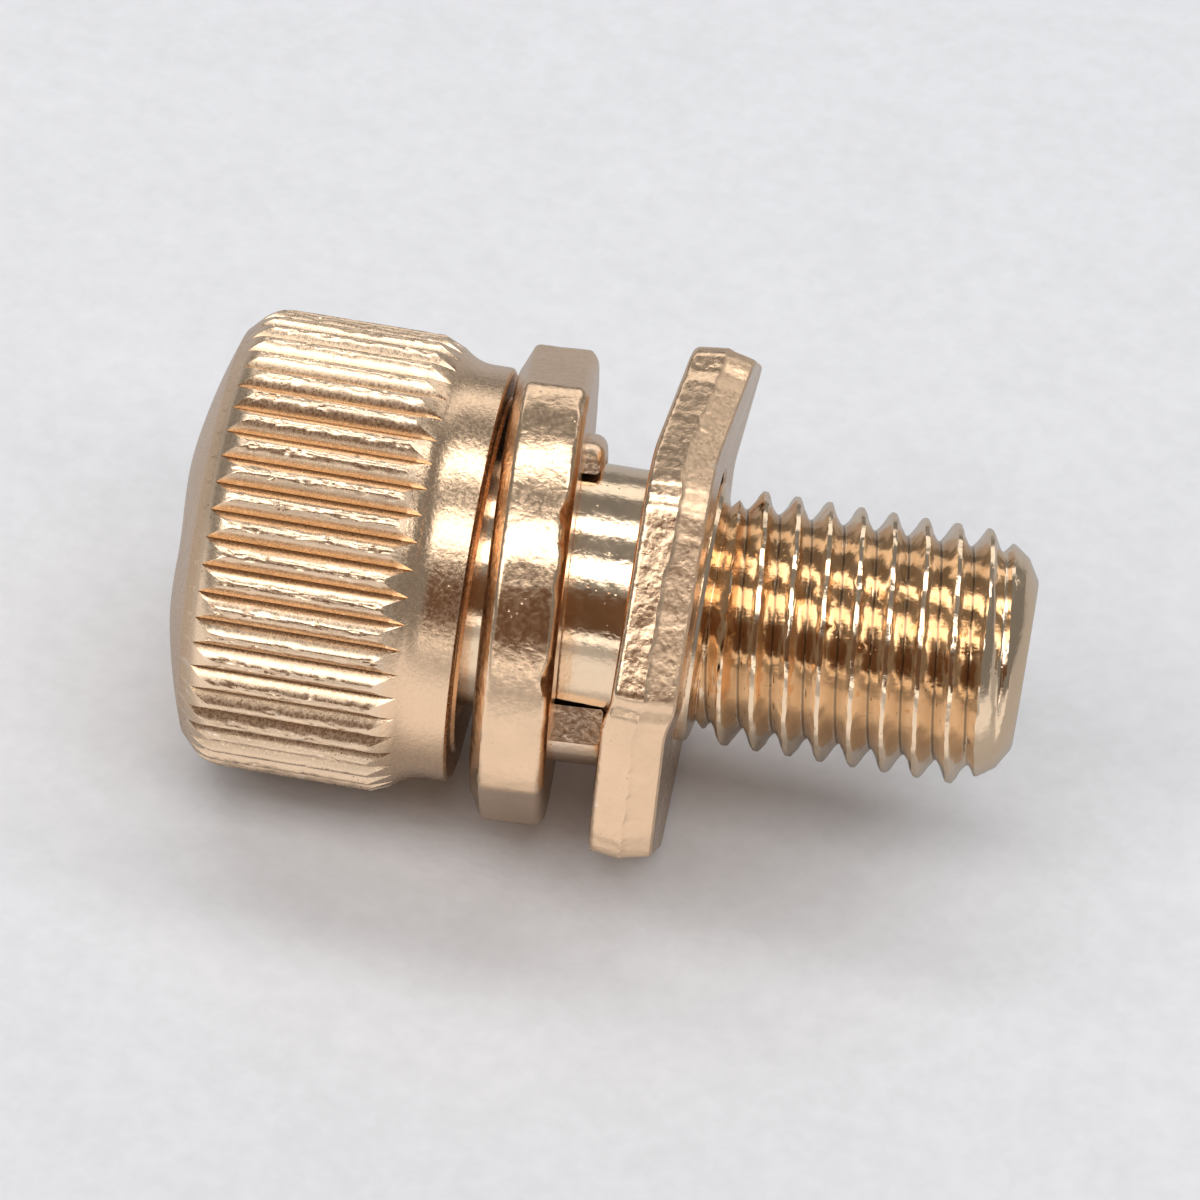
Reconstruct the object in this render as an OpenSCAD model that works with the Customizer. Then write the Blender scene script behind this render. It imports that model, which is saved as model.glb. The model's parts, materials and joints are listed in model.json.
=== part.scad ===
// Assembly screw: a knurled head with a dished groove over its crown, a plain shank and a
// fine thread, with two loose washers on the shank. The bevelled washer next to the head
// has two dogs on its far face. The eight-sided lock washer is a stamping with one side bent
// towards the tip and the opposite one stepped towards the head.
// The assembly lies as it comes to rest, on the knurl's outer end and on one flat of the
// lock washer. The screw's axis lies over +X with the tip slightly raised, +Z is up, and
// the surface it lies on is Z = 0. The origin is below the middle of its length.
// Millimetres.

/* [Thread and shank] */
// Outside diameter of the thread
thread_d = 5.97; // [5.5:0.01:6.1]
// Diameter of the plain shank
shank_d = 6.05; // [5.6:0.01:6.2]
// Distance from the head's collar to the end of the plain shank
shank_l = 5.3; // [5.25:0.05:5.8]
// Length of the undercut between shank and thread
undercut_l = 0.35; // [0.2:0.05:0.6]
// Distance from the head's collar to the tip of the screw
screw_l = 12.7; // [11.5:0.05:16]
// Length of the tapered lead at the tip
lead_l = 1.05; // [0.6:0.05:1.5]
// Diameter of the flat end of the tip
tip_d = 3.95; // [3:0.05:4.4]

/* [Head] */
// Diameter over the knurl's ridges
head_d = 10.7; // [10.3:0.05:11]
// Distance from the collar's bearing side to the head's crown
head_h = 7.12; // [6.4:0.05:8]
// Number of knurl ridges
knurl_count = 51; // [36:1:60]
// Depth of the knurl's grooves
knurl_depth = 0.26; // [0.15:0.01:0.3]
// Share of the knurl's pitch that is flat ridge
knurl_land = 0.14; // [0.1:0.02:0.5]
// Radius of the head's rounded outer corner
corner_r = 0.9; // [0.6:0.05:1.2]
// Radius of the head's crowned end
crown_r = 13; // [12:0.5:20]
// Diameter of the smooth collar
collar_d = 9.7; // [9.5:0.05:9.9]
// Length of the collar and its flare together
collar_l = 1.75; // [1.5:0.05:2]
// Width of the dished groove over the crown
groove_w = 4.2; // [3:0.1:5]
// Depth of the dished groove below the crown
groove_depth = 0.27; // [0.15:0.01:0.5]
// Diameter of the raised bearing boss
boss_d = 8.3; // [7.8:0.05:8.6]
// Height of the raised bearing boss
boss_h = 0.08; // [0.05:0.01:0.12]

/* [Dog washer] */
// Outside diameter of the dog washer
dog_washer_d = 11.1; // [10.8:0.05:11.3]
// Play of both washers on the shank, across their bores
washer_play = 0.35; // [0.3:0.05:0.6]
// Width of the dog washer's rim between its bevels
dog_rim_l = 1.3; // [1.2:0.02:1.4]
// Depth of the bevel that faces the head, along the axis
dog_bevel_l = 0.3; // [0.2:0.01:0.4]
// Width of the bevel that faces the head, across the axis
dog_bevel_w = 0.65; // [0.4:0.05:0.7]
// Lean of the dog washer on the shank, in degrees
dog_lean = 3; // [1:0.25:3]
// Length of the long dog
dog_l = 1.2; // [0.8:0.05:1.5]
// Width of the dogs
dog_w = 3.3; // [2.4:0.1:3.6]
// Depth of the two flats on the dog washer's rim
dog_flat = 0.25; // [0.05:0.05:0.3]
// Play of the dogs on the shank, across the pair
dog_play = 0.22; // [0.2:0.02:0.4]
// Thickness of the long dog, outwards from the washer's bore
dog_wall = 0.78; // [0.5:0.02:1]
// Length of the short dog
short_dog_l = 0.45; // [0.3:0.05:0.8]

/* [Lock washer] */
// Width of the lock washer across its flats
lock_af = 11.9; // [11.7:0.05:12.4]
// Thickness of the lock washer
lock_t = 1.46; // [1.1:0.02:1.5]
// Bend of the lock washer's upper side towards the tip, in degrees
lock_bend = 9; // [4:0.5:12]
// Distance of that bend from the lock washer's centre
bend_at = 3.4; // [2.5:0.1:4.2]
// Step of the lock washer's lower side towards the head
lock_step = 0.15; // [0.05:0.01:0.3]
// Distance of that step from the lock washer's centre
step_at = 2.2; // [1.8:0.1:3]

/* [Hidden] */

bronze = "#c9a27e";
bronze_pale = "#d2ae8c";
bronze_deep = "#bd9670";

eps = 0.02;             // overlap that makes a clean union or cut
fine = 96;              // facets on screen only: round parts stay true in the solids
undercut_d = thread_d - 2 * 0.2;

// Head profile
head_r = head_d / 2;
collar_r = collar_d / 2;
crown_x = -head_h;
flare_r = head_r - 0.22;            // where the knurl's chamfer meets the concave flare
flare_l = 0.5;                      // length of that chamfer along the axis
neck_l = 0.55;                      // straight part of the collar
edge = 0.1;                         // small broken edges
groove_turn = 10;                   // side of the head that the dished groove points to

// Washers
washer_bore_r = (shank_d + washer_play) / 2;
dog_washer_r = dog_washer_d / 2;
dog_gap = 0.02;                     // gap where the leaning washer all but meets the boss
dog_face_r = dog_washer_r - dog_bevel_w;
dog_face_x = boss_h + boss_d / 2 * tan(dog_lean) + dog_gap;
dog_back_l = 0.16;                  // far bevel along the axis
dog_back_w = 0.2;                   // far bevel across the axis
dog_t = dog_bevel_l + dog_rim_l + dog_back_l;
dog_lean_side = 60;                 // side of the shank that the washer leans away from
dog_side = 90;                      // side of the shank that carries the long dog
dog_bore_r = (shank_d + dog_play) / 2;
dog_flat_sides = [-72, 76];         // sides of the shank that the rim's flats face
dog_reach = washer_bore_r + dog_wall;
short_dog_reach = washer_bore_r + 0.44;
dog_edge = 0.15;                    // broken edge at the long dog's end
short_dog_edge = 0.3;               // worn edge at the short dog's end
dog_shift = (dog_t + dog_l) / 2 * sin(dog_lean);    // keeps the leaning bore off the shank

dog_end_x = dog_face_x + (dog_t + dog_l) * cos(dog_lean) + dog_reach * sin(dog_lean);
lock_gap = 0.06;                    // gap between the long dog and the stepped side
lock_x = dog_end_x + lock_gap + lock_step;  // near face of the lock washer's flat middle
lock_offset = washer_play / 2 - 0.025;      // the shank rests low in this washer's bore
lock_corner_r = lock_af / 2 + 0.4;          // corners of the flats are worn back to this radius
step_run = 0.9;                     // width of the slope that makes the step
bend_side = -89;                    // side of the shank that is bent towards the tip

// Directions round the axis are angles from the near side, turning down towards the
// surface. The near side of the screw faces up at this angle from the horizontal.
near_tilt = 46;

// Rest: the screw leans until the knurl's rounded end and the lock washer's lowest flat
// are at the same height
lock_drop = lock_af / 2 - lock_offset;
knurl_end_x = crown_x + sag(head_r - corner_r * 0.55) + corner_r;
lock_low_x = lock_x - lock_step;
rest_tilt = atan((lock_drop - head_r) / (lock_low_x - knurl_end_x));
rest_height = lock_drop * cos(rest_tilt) - lock_low_x * sin(rest_tilt);
lip = 0.42;                         // the crown stands proudest beside the groove, at this share of its width
lip_x = crown_x + sag(lip * groove_w) + groove_depth * pow(cos(180 * lip), 2);
lip_z = lip * groove_w * cos(near_tilt - groove_turn);
rest_shift = -((lip_x + screw_l) * cos(rest_tilt) + (tip_d / 2 - lip_z) * sin(rest_tilt)) / 2;

// Fall of the crowned end at a distance r from the axis
function sag(r) = crown_r - sqrt(crown_r * crown_r - r * r);

// Points of an arc about [x, r], from one angle to another
function arc(x, r, radius, from, to, steps) =
    [for (i = [0:steps]) let (a = from + (to - from) * i / steps)
        [x + radius * cos(a), r + radius * sin(a)]];

// Outline of the head, as [distance along the axis, distance from it]
function head_outline() =
    let (
        shoulder_x = -collar_l,
        flare_x = shoulder_x + flare_l,
        corner_x = knurl_end_x,
        crown = [for (i = [0:8]) let (r = (head_r - corner_r * 0.62) * i / 8) [crown_x + sag(r), r]]
    )
    concat(
        crown,
        arc(corner_x, head_r - corner_r, corner_r, 148, 90, 5),
        [[shoulder_x, head_r], [flare_x, flare_r]],
        [for (i = [1:4]) let (u = i / 4)
            [flare_x + (-neck_l - flare_x) * u, collar_r + (flare_r - collar_r) * pow(1 - u, 2)]],
        [[-edge, collar_r], [0, collar_r - edge], [0, 0]]
    );

// Turned shape: a profile of [distance along the axis, radius] revolved about +X
module turned(points) {
    rotate([0, 90, 0])
        rotate_extrude($fn = fine)
            polygon([for (p = points) [p[1], p[0]]]);
}

// Places children at an angle round the axis, measured from the near side downwards
module round_axis(angle) {
    rotate([angle - near_tilt + 90, 0, 0])
        children();
}

// Cross-section of the knurl: flat ridges with V grooves between them
module knurl_section() {
    pitch = 360 / knurl_count;
    groove_r = head_r - knurl_depth;
    rotate(pitch / 2)
    polygon([for (i = [0:knurl_count - 1]) let (a = i * pitch)
        each [
            [head_r * cos(a - pitch * knurl_land / 2), head_r * sin(a - pitch * knurl_land / 2)],
            [head_r * cos(a + pitch * knurl_land / 2), head_r * sin(a + pitch * knurl_land / 2)],
            [groove_r * cos(a + pitch / 2), groove_r * sin(a + pitch / 2)]
        ]]);
}

// Cutter for the dished groove: a smooth trough, deepest at its middle
module dished_groove() {
    steps = 12;
    round_axis(groove_turn)
        linear_extrude(head_d + 2, center = true)
            polygon(concat(
                [[crown_x - 1, -groove_w / 2]],
                [for (i = [0:steps]) let (u = 2 * i / steps - 1)
                    [crown_x + groove_depth * pow(cos(90 * u), 2), groove_w / 2 * u]],
                [[crown_x - 1, groove_w / 2]]
            ));
}

module head() {
    difference() {
        intersection() {
            turned(head_outline());
            translate([crown_x - eps, 0, 0])
                rotate([0, 90, 0])
                    linear_extrude(head_h + 2 * eps)
                        knurl_section();
        }
        dished_groove();
    }
}

module stem() {
    thread_r = thread_d / 2;
    shank_r = shank_d / 2;
    turned([
        [-eps, 0], [-eps, boss_d / 2], [boss_h - edge / 2, boss_d / 2],
        [boss_h, boss_d / 2 - edge / 2], [boss_h, shank_r],
        [shank_l - edge, shank_r], [shank_l, undercut_d / 2],
        [shank_l + undercut_l, undercut_d / 2],
        [shank_l + undercut_l + (thread_d - undercut_d) / 2, thread_r],
        [screw_l - lead_l, thread_r],
        [screw_l - lead_l * 0.25, tip_d / 2 + 0.45],
        [screw_l, tip_d / 2], [screw_l, 0]
    ]);
}

module screw() {
    color(bronze)
        union() {
            head();
            stem();
        }
}

// A dog: a lug on the washer's far face, hollow to the shank and round outside
module dog(reach, length, edge_w) {
    difference() {
        intersection() {
            translate([dog_t - eps, -dog_w / 2, 0])
                cube([length + eps, dog_w, reach + 1]);
            turned([
                [dog_t - 1, 0], [dog_t - 1, reach], [dog_t + length - edge_w, reach],
                [dog_t + length, reach - edge_w], [dog_t + length, 0]
            ]);
        }
        along_x(dog_t - 1, length + 2, dog_bore_r);
    }
}

// Round bar from one place along the axis
module along_x(x, length, radius) {
    translate([x, 0, 0])
        rotate([0, 90, 0])
            cylinder(r = radius, h = length, $fn = fine);
}

// The dog washer's bevelled ring, with its bore and the two flats on its rim
module dog_ring() {
    difference() {
        turned([
            [0, 0], [0, dog_face_r], [dog_bevel_l, dog_washer_r],
            [dog_bevel_l + dog_rim_l, dog_washer_r],
            [dog_t, dog_washer_r - dog_back_w], [dog_t, 0]
        ]);
        along_x(-1, dog_t + 2, washer_bore_r);
        for (flat_side = dog_flat_sides)
            rotate([flat_side - dog_lean_side, 0, 0])
                translate([-1, -dog_washer_r, dog_washer_r - dog_flat])
                    cube([dog_t + 2, dog_washer_d, dog_flat + 1]);
    }
}

module dog_washer() {
    color(bronze_pale)
        round_axis(dog_lean_side)
            translate([dog_face_x, 0, dog_shift])
                rotate([0, dog_lean, 0])
                    union() {
                        dog_ring();
                        rotate([dog_side - dog_lean_side, 0, 0])
                            dog(dog_reach, dog_l, dog_edge);
                        rotate([dog_side - dog_lean_side + 180, 0, 0])
                            dog(short_dog_reach, short_dog_l, short_dog_edge);
                    }
}

// Side view of the lock washer's plate: stepped to the head, flat, then bent to the tip
module bent_side() {
    far = lock_corner_r + 1;
    face = [
        [-lock_step, -far], [-lock_step, -step_at - step_run], [0, -step_at],
        [0, bend_at], [(far - bend_at) * tan(lock_bend), far]
    ];
    polygon(concat(face, [for (i = [len(face) - 1:-1:0]) face[i] + [lock_t, 0]]));
}

module lock_washer() {
    corner_d = lock_af / cos(22.5);
    color(bronze_deep)
        translate([lock_x, 0, lock_offset])
            difference() {
                intersection() {
                    round_axis(near_tilt + 90)
                        translate([-1, 0, 0])
                            rotate([0, 90, 0])
                                rotate(22.5)
                                    cylinder(d = corner_d, h = lock_t + 4, $fn = 8);
                    along_x(-1, lock_t + 4, lock_corner_r);
                    round_axis(bend_side)
                        rotate([90, 0, 0])
                            linear_extrude(4 * lock_corner_r, center = true)
                                bent_side();
                }
                along_x(-2, lock_t + 6, washer_bore_r);
            }
}

// Lies the assembly down on its rest points
module at_rest() {
    translate([rest_shift, 0, rest_height])
        rotate([0, -rest_tilt, 0])
            children();
}

at_rest() screw();
at_rest() dog_washer();
at_rest() lock_washer();
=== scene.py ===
"""Dresses the assembly screw: a knurled bronze screw with a dished crown, and two loose washers.

The screw's own frame has its axis along +X, with the collar's bearing side at X = 0, and
its sizes are millimetres. Sides round the axis are angles from the near side, turning
down. Meshes are made in that frame and then laid in the rest position, in metres.
"""

import json
import logging
import math
from collections.abc import Callable
from dataclasses import dataclass, field, replace
from enum import Enum, IntEnum
from math import atan2, cos, degrees, hypot, pi, radians, sin, sqrt, tan

import bmesh
import bpy
from mathutils import Matrix, Vector, noise


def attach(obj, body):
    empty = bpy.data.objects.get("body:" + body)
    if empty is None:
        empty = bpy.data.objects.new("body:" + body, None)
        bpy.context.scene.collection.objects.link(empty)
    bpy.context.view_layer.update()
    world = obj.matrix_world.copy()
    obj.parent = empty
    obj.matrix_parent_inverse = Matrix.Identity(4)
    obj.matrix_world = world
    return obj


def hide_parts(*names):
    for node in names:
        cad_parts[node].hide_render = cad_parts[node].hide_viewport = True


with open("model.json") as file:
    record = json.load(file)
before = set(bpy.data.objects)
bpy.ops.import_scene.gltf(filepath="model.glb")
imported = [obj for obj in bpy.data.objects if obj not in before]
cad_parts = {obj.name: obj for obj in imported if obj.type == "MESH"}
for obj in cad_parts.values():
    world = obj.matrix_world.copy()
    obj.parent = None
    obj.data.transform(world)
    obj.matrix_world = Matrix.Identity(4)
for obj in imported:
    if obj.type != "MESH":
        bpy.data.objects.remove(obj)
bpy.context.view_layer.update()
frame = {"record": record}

LOG = logging.getLogger("assembly_screw")
MM = 0.001
NEAR_TILT = 46.0
SENSOR = 36.0
# The colour of the painted shade at the bottoms of the knurl's grooves and the thread's roots.
GROOVE_FLOOR_SHADE = (0.2, 0.1, 0.035)
Colour = tuple[float, float, float]
Marks = tuple[tuple[float, float, float], ...]
Outline = list[tuple[float, float]]
Mesh, Vert = bmesh.types.BMesh, bmesh.types.BMVert
Material, Object = bpy.types.Material, bpy.types.Object
Socket, Tree = bpy.types.NodeSocket, bpy.types.NodeTree


class Node(Enum):
    """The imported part's nodes and the bodies they ride on."""

    SCREW = ("screw", "screw_body")
    DOG_WASHER = ("dog_washer", "dog_washer_body")
    LOCK_WASHER = ("lock_washer", "lock_washer_body")


class Slot(IntEnum):
    """The screw's material slots."""

    HEAD = 0
    STEM = 1
    KNURL = 2
    CROWN = 3


# ---- placing and plain geometry


def placed(place: Vector, *axes: Vector) -> Matrix:
    """Gives the matrix that stands three axes at a place."""
    return Matrix.Translation(place) @ Matrix(axes).transposed().to_4x4()


@dataclass(frozen=True)
class Rest:
    """How the screw's own frame lies in the part's frame."""

    pin_middle: float = 8.75

    def matrix(self) -> Matrix:
        """Gives the turn and place of the screw's own frame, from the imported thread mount.

        Returns:
            The matrix from millimetres in the screw's frame to metres in the part's.
        """
        mount = frame["record"]["mounts"][0]
        axis = Vector(mount["axis"]).normalized()
        across = Vector((0, 1, 0))
        origin = Vector(mount["pos_m"]) - axis * self.pin_middle * MM
        return placed(origin, axis, across, axis.cross(across)) @ Matrix.Scale(MM, 4)


def wrap(angle: float) -> float:
    """Brings an angle in degrees to between -180 and 180."""
    return (angle + 180) % 360 - 180


def side(angle: float) -> tuple[float, float]:
    """Gives the Y and Z of a side, named by its degrees from the near one, turning down."""
    lift = radians(NEAR_TILT - angle)
    return -cos(lift), sin(lift)


def side_at(turn: float) -> float:
    """Gives the side, in degrees from the near one, at a turn about +X from +Y, in radians."""
    return wrap(NEAR_TILT - degrees(atan2(sin(turn), -cos(turn))))


def off_axis(point: Vector) -> float:
    """Gives a point's distance from the screw's axis."""
    return hypot(point.y, point.z)


def clamp(value: float) -> float:
    """Holds a value between 0 and 1."""
    return max(0.0, min(1.0, value))


def eased(value: float, soft: float) -> float:
    """Gives a value where it is above zero, and zero below, rounded over a soft width."""
    above = (value + soft) ** 2 / (4 * soft) if value < soft else value
    return above if value >= -soft else 0.0


def ball_noise(p: Vector, size: float, depth: int = 2) -> float:
    """Gives smooth noise of about one unit each way, with features of a given size."""
    return noise.fractal(p / size, 0.7, 2.0, depth)


def dents(angle: float, marks: Marks) -> float:
    """Adds up smooth local dents round the rim.

    Args:
        angle: The side, in degrees from the near one.
        marks: The side, width in degrees and depth of each dent.

    Returns:
        The depth at that side.
    """
    return sum(depth * math.exp(-((wrap(angle - at) / width) ** 2)) for at, width, depth in marks)


def spaced(start: tuple[float, float], end: tuple[float, float], count: int) -> Outline:
    """Gives a number of even steps from a start, which is left out, to an end."""
    return [tuple(a + (b - a) * i / count for a, b in zip(start, end)) for i in range(1, count + 1)]


# ---- mesh helpers


def link(name: str, data: bpy.types.ID) -> Object:
    """Puts a new object in the scene.

    Args:
        name: Its name.
        data: Its mesh, light or camera.

    Returns:
        The object.
    """
    obj = bpy.data.objects.new(name, data)
    bpy.context.scene.collection.objects.link(obj)
    return obj


def new_object(name: str, mesh: Mesh) -> Object:
    """Makes a scene object from a bmesh, and frees the bmesh.

    Args:
        name: The object's name.
        mesh: Its surface.

    Returns:
        The object.
    """
    data = bpy.data.meshes.new(name)
    mesh.to_mesh(data)
    mesh.free()
    return link(name, data)


def lie_down(name: str, mesh: Mesh, sharp: float, *finishes: Material) -> Object:
    """Makes a finished piece and moves it from the screw's frame to the rest position.

    Args:
        name: The piece's name.
        mesh: Its surface in millimetres, in the screw's frame.
        sharp: Edges steeper than this many degrees stay crisp.
        *finishes: Its materials, in the order of its slots.

    Returns:
        The piece, with its place in its mesh.
    """
    obj = new_object(name, mesh)
    for finish in finishes:
        obj.data.materials.append(finish)
    obj.data.transform(Rest().matrix())
    obj.data.shade_smooth()
    obj.data.set_sharp_from_angle(angle=radians(sharp))
    return obj


def turn_mesh(mesh: Mesh, turn: Matrix) -> None:
    """Turns a whole mesh about the origin."""
    bmesh.ops.rotate(mesh, verts=mesh.verts, matrix=turn)


def absorb(mesh: Mesh, part: Mesh) -> None:
    """Adds another bmesh to a mesh, and frees that one.

    Args:
        mesh: The mesh to add to.
        part: The one to add.
    """
    data = bpy.data.meshes.new("part")
    part.to_mesh(data)
    part.free()
    mesh.from_mesh(data)
    bpy.data.meshes.remove(data)


def narrow(vert: Vert, share: float) -> None:
    """Moves a point towards the axis by a share of its distance."""
    vert.co.y *= 1 - share
    vert.co.z *= 1 - share


def column(mesh: Mesh, outline: Outline, turn: float) -> list[Vert]:
    """Adds an outline's points to a mesh, at a turn about +X from +Y, in radians."""
    return [mesh.verts.new((x, r * cos(turn), r * sin(turn))) for x, r in outline]


def lay_faces(mesh: Mesh, rows: list[list[Vert]], looped: bool) -> None:
    """Lays faces between neighbouring rows of points.

    Args:
        mesh: The mesh that holds the points.
        rows: Rows of equal length.
        looped: Whether each row closes on itself.
    """
    for one, two in zip(rows, rows[1:]):
        for i in range(len(one) - (not looped)):
            k = (i + 1) % len(one)
            mesh.faces.new((one[i], two[i], two[k], one[k]))


def revolve(outline: Outline, steps: int) -> Mesh:
    """Turns an open outline about the axis.

    Args:
        outline: Distances along and from the axis. A radius of 0 closes an end.
        steps: Faces round the axis.

    Returns:
        The turned surface, merged.
    """
    mesh = bmesh.new()
    turns = [2 * pi * j / steps for j in range(steps)]
    rows = [[column(mesh, [point], turn)[0] for turn in turns] for point in outline]
    for low, high in zip(rows, rows[1:]):
        for j in range(steps):
            k = (j + 1) % steps
            mesh.faces.new((low[j], low[k], high[k], high[j]))
    bmesh.ops.remove_doubles(mesh, verts=mesh.verts, dist=1e-4)
    return mesh


def ring_body(section: Callable[[float], Outline], count: int) -> Mesh:
    """Joins closed cross-sections into a ring.

    Args:
        section: Gives the closed loop at a turn about +X from +Y, in radians.
        count: The number of columns, spread evenly round the axis.

    Returns:
        The ring, with its faces pointing outwards.
    """
    mesh = bmesh.new()
    turns = [2 * pi * j / count for j in range(count)]
    rows = [column(mesh, section(turn), turn) for turn in turns]
    lay_faces(mesh, rows + rows[:1], True)
    bmesh.ops.recalc_face_normals(mesh, faces=mesh.faces)
    return mesh


def close_up(mesh: Mesh, dist: float = 1e-3) -> None:
    """Merges a mesh's doubles and points its faces outwards.

    Args:
        mesh: The mesh.
        dist: How near two points must be to merge.
    """
    bmesh.ops.remove_doubles(mesh, verts=mesh.verts, dist=dist)
    bmesh.ops.dissolve_degenerate(mesh, edges=mesh.edges, dist=1e-5)
    bmesh.ops.recalc_face_normals(mesh, faces=mesh.faces)


def report(obj: Object) -> None:
    """Logs a piece's size and whether its surface is closed.

    Args:
        obj: The piece.
    """
    mesh = bmesh.new()
    mesh.from_mesh(obj.data)
    open_edges = sum(1 for e in mesh.edges if len(e.link_faces) != 2)
    triangles = sum(len(f.verts) - 2 for f in mesh.faces)
    LOG.info("%s: %d triangles, %d open edges, volume %.2f mm3",
             obj.name, triangles, open_edges, mesh.calc_volume() / MM ** 3)
    mesh.free()


# ---- node trees


class Nodes:
    """Builds nodes by name in a tree."""

    def __init__(self, tree: Tree) -> None:
        """Works in the given node tree."""
        self.tree = tree

    def join(self, target: Socket, value: object) -> None:
        """Links a socket, or sets a plain value.

        Args:
            target: The input.
            value: A socket or a plain value.
        """
        if isinstance(value, Socket):
            self.tree.links.new(value, target)
        else:
            target.default_value = value

    def node(self, kind: str, inputs: dict[str | int, object] | None = None,
             **settings: object) -> bpy.types.Node:
        """Adds a node with its settings and its inputs by name.

        Args:
            kind: The node's type.
            inputs: Plain values or sockets, by input.
            **settings: The node's own properties, set first.

        Returns:
            The node.
        """
        made = self.tree.nodes.new(kind)
        for key, value in settings.items():
            setattr(made, key, value)
        for key, value in (inputs or {}).items():
            self.join(made.inputs[key], value)
        return made

    def maths(self, operation: str, *values: object) -> Socket:
        """Adds a Math node and gives its result."""
        return self.node("ShaderNodeMath", dict(enumerate(values)), operation=operation).outputs[0]

    def ramp(self, value: object, low: float, high: float,
             out_low: float = 0.0, out_high: float = 1.0) -> Socket:
        """Maps a value smoothly from one range to another, held at both ends."""
        ends = {"From Min": low, "From Max": high, "To Min": out_low, "To Max": out_high}
        return self.node("ShaderNodeMapRange", {"Value": value, **ends},
                         interpolation_type="SMOOTHSTEP", clamp=True).outputs["Result"]

    def cloud(self, place: Socket, scale: object, detail: float, roughness: float = 0.5) -> Socket:
        """Adds smooth noise and gives its value."""
        return self.node("ShaderNodeTexNoise", {
            "Vector": place, "Scale": scale, "Detail": detail, "Roughness": roughness}).outputs[0]

    def mix(self, factor: object, low: object, high: object, **settings: object) -> Socket:
        """Mixes two colours, each a socket or three plain values."""
        low, high = ((*v, 1) if isinstance(v, tuple) else v for v in (low, high))
        return self.node("ShaderNodeMix", {"Factor": factor, "A": low, "B": high},
                         data_type="RGBA", **settings).outputs["Result"]


class Group(Nodes):
    """A node group with named inputs and outputs."""

    def __init__(self, name: str, kind: str) -> None:
        """Starts an empty group of a kind of tree.

        Args:
            name: The group's name.
            kind: The kind of tree.
        """
        super().__init__(bpy.data.node_groups.new(name, kind))
        self.sockets: dict[str, str] = {}
        self.inlet = self.tree.nodes.new("NodeGroupInput")

    def take(self, label: str, kind: str = "Float", value: float | None = None) -> Socket:
        """Adds a named input.

        Args:
            label: Its name.
            kind: Its type.
            value: Its usual value, if it has one.

        Returns:
            Its inner end.
        """
        socket = self.tree.interface.new_socket(label, in_out="INPUT", socket_type=f"NodeSocket{kind}")
        if value is not None:
            socket.default_value = value
        self.sockets[label] = socket.identifier
        return self.inlet.outputs[label]

    def give(self, values: dict[str, Socket], kind: str = "Float") -> Tree:
        """Adds the outputs by name, and gives the finished tree.

        Args:
            values: The outputs' values by name.
            kind: Their type.

        Returns:
            The tree.
        """
        for label in values:
            self.tree.interface.new_socket(label, in_out="OUTPUT", socket_type=f"NodeSocket{kind}")
        self.node("NodeGroupOutput", values)
        return self.tree


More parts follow.
